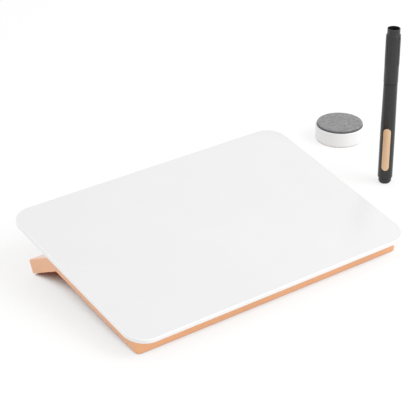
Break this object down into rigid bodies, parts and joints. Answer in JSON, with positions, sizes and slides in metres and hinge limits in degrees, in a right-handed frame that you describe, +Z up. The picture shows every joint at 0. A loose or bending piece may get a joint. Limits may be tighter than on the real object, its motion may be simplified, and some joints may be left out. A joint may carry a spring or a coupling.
{
  "type": "desktop glass whiteboard",
  "caption": "Tilted white glass writing panel on a copper-coloured folded metal stand, with a capped dry-erase marker and a round felt eraser.",
  "frame": {"origin": "centre of the front grip strip's underside, on the desk", "axes": "+X along the board's long side, +Y away from the user towards the raised rear edge, +Z up"},
  "size_m": [0.3672, 0.2068, 0.1367],
  "materials": {
    "tempered_glass": "polished, clear",
    "white_coating": "fired white back coating",
    "foam_tape": "white foam tape",
    "copper_paint": "satin copper-coloured powder coat",
    "silicone": "matte silicone",
    "barrel_plastic": "satin moulded",
    "plug_plastic": "satin moulded",
    "ink_fibre": "ink-soaked fibre in film",
    "holder_plastic": "satin moulded",
    "nib_felt": "pressed fibre",
    "cap_plastic": "satin moulded, ribbed",
    "seal_plastic": "soft natural moulding",
    "eraser_plastic": "semi-gloss white",
    "magnet_metal": "nickel-plated",
    "eraser_foam": "closed-cell foam",
    "eraser_felt": "needled grey felt"
  },
  "bodies": {
    "board": {"glass_panel": "tempered_glass", "back_coating": "white_coating", "mounting_tape": "foam_tape", "folded_stand": "copper_paint", "front_grip_strip": "silicone", "rear_grip_strip": "silicone"},
    "marker": {"marker_barrel": "barrel_plastic", "marker_end_plug": "plug_plastic", "ink_reservoir": "ink_fibre", "nib_holder": "holder_plastic", "marker_nib": "nib_felt"},
    "cap": {"marker_cap": "cap_plastic", "cap_inner_seal": "seal_plastic"},
    "eraser": {"eraser_shell": "eraser_plastic", "eraser_magnet": "magnet_metal", "eraser_backing": "eraser_foam", "eraser_felt": "eraser_felt"}
  },
  "joints": [
    {"name": "marker_lift", "type": "slide", "parent": "board", "child": "marker", "axis": [0, 0, 1], "range_m": [0, 0.06]},
    {"name": "cap_pull", "type": "slide", "parent": "marker", "child": "cap", "axis": [0, 0, 1], "range_m": [0, 0.03]},
    {"name": "eraser_lift", "type": "slide", "parent": "board", "child": "eraser", "axis": [0, 0, 1], "range_m": [0, 0.06]}
  ]
}
